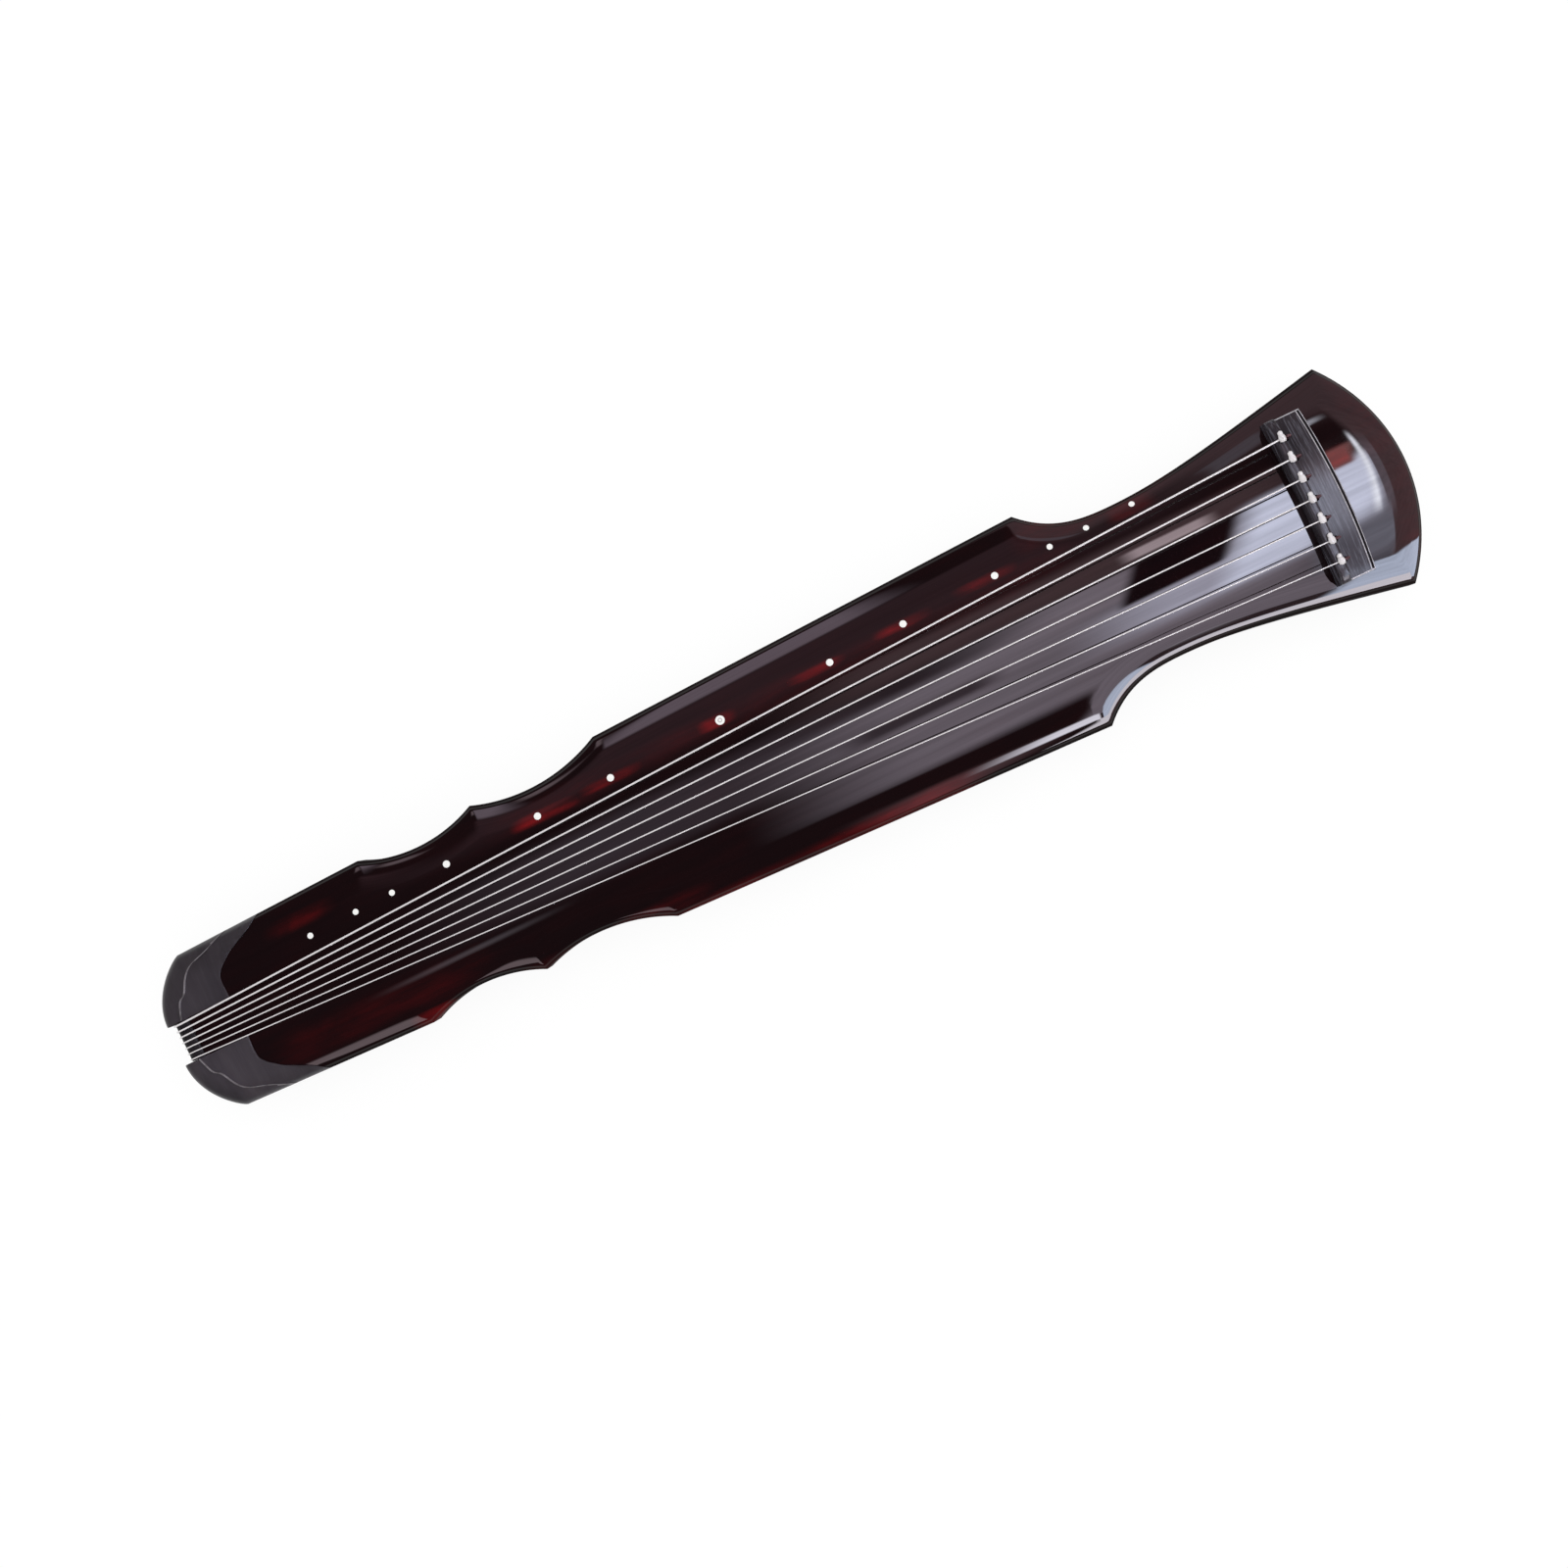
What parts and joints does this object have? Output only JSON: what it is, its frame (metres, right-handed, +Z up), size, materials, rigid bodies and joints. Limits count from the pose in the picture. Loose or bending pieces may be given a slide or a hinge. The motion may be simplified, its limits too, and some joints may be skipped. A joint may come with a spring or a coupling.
{
  "type": "guqin",
  "caption": "Long, narrow plucked zither: arched lacquered board, strings over a bridge at the wide head, inlaid marker studs, turning pegs underneath and short feet.",
  "frame": {"origin": "on the table, under the middle of the body in length and width", "axes": "+X along the body from the tail to the head, +Y away from the player to the side with the marker studs, +Z up out of the playing surface"},
  "size_m": [1.24, 0.2174, 0.0994],
  "materials": {
    "lacquer": "polished dark lacquer",
    "hardwood": "satin hardwood",
    "peg_wood": "polished hardwood",
    "bare_wood": "bare",
    "shell": "polished mother-of-pearl",
    "string": "wound string",
    "silk": "twisted silk"
  },
  "bodies": {
    "instrument": {"top_board": "lacquer", "bottom_board": "lacquer", "bridge": "hardwood", "bridge_strip": "hardwood", "tail_nut": "hardwood", "lower_nut": "hardwood", "tail_trim_far": "hardwood", "tail_trim_near": "hardwood", "peg_plate": "hardwood", "dragon_pond_rim": "hardwood", "phoenix_pool_rim": "hardwood", "goose_foot_far": "hardwood", "goose_foot_near": "hardwood", "peg_guard_far": "hardwood", "peg_guard_near": "hardwood", "round_sound_post": "bare_wood", "square_sound_post": "bare_wood", "foot_block_far": "bare_wood", "foot_block_near": "bare_wood", "stud_1": "shell", "stud_2": "shell", "stud_3": "shell", "stud_4": "shell", "stud_5": "shell", "stud_6": "shell", "stud_7": "shell", "stud_8": "shell", "stud_9": "shell", "stud_10": "shell", "stud_11": "shell", "stud_12": "shell", "stud_13": "shell", "silk_cord_1": "silk", "silk_cord_2": "silk", "silk_cord_3": "silk", "silk_cord_4": "silk", "silk_cord_5": "silk", "silk_cord_6": "silk", "silk_cord_7": "silk", "string_1": "string", "string_2": "string", "string_3": "string", "string_4": "string", "string_5": "string", "string_6": "string", "string_7": "string"},
    "peg_1": {"tuning_peg_1": "peg_wood"},
    "peg_2": {"tuning_peg_2": "peg_wood"},
    "peg_3": {"tuning_peg_3": "peg_wood"},
    "peg_4": {"tuning_peg_4": "peg_wood"},
    "peg_5": {"tuning_peg_5": "peg_wood"},
    "peg_6": {"tuning_peg_6": "peg_wood"},
    "peg_7": {"tuning_peg_7": "peg_wood"}
  },
  "joints": [
    {"name": "peg_1_turn", "type": "hinge", "parent": "instrument", "child": "peg_1", "pos_m": [0.528, 0.0606, 0.0477], "axis": [0, 0, 1], "continuous": true},
    {"name": "peg_2_turn", "type": "hinge", "parent": "instrument", "child": "peg_2", "pos_m": [0.528, 0.0404, 0.0477], "axis": [0, 0, 1], "continuous": true},
    {"name": "peg_3_turn", "type": "hinge", "parent": "instrument", "child": "peg_3", "pos_m": [0.528, 0.0202, 0.0477], "axis": [0, 0, 1], "continuous": true},
    {"name": "peg_4_turn", "type": "hinge", "parent": "instrument", "child": "peg_4", "pos_m": [0.528, 0, 0.0477], "axis": [0, 0, 1], "continuous": true},
    {"name": "peg_5_turn", "type": "hinge", "parent": "instrument", "child": "peg_5", "pos_m": [0.528, -0.0202, 0.0477], "axis": [0, 0, 1], "continuous": true},
    {"name": "peg_6_turn", "type": "hinge", "parent": "instrument", "child": "peg_6", "pos_m": [0.528, -0.0404, 0.0477], "axis": [0, 0, 1], "continuous": true},
    {"name": "peg_7_turn", "type": "hinge", "parent": "instrument", "child": "peg_7", "pos_m": [0.528, -0.0606, 0.0477], "axis": [0, 0, 1], "continuous": true}
  ]
}
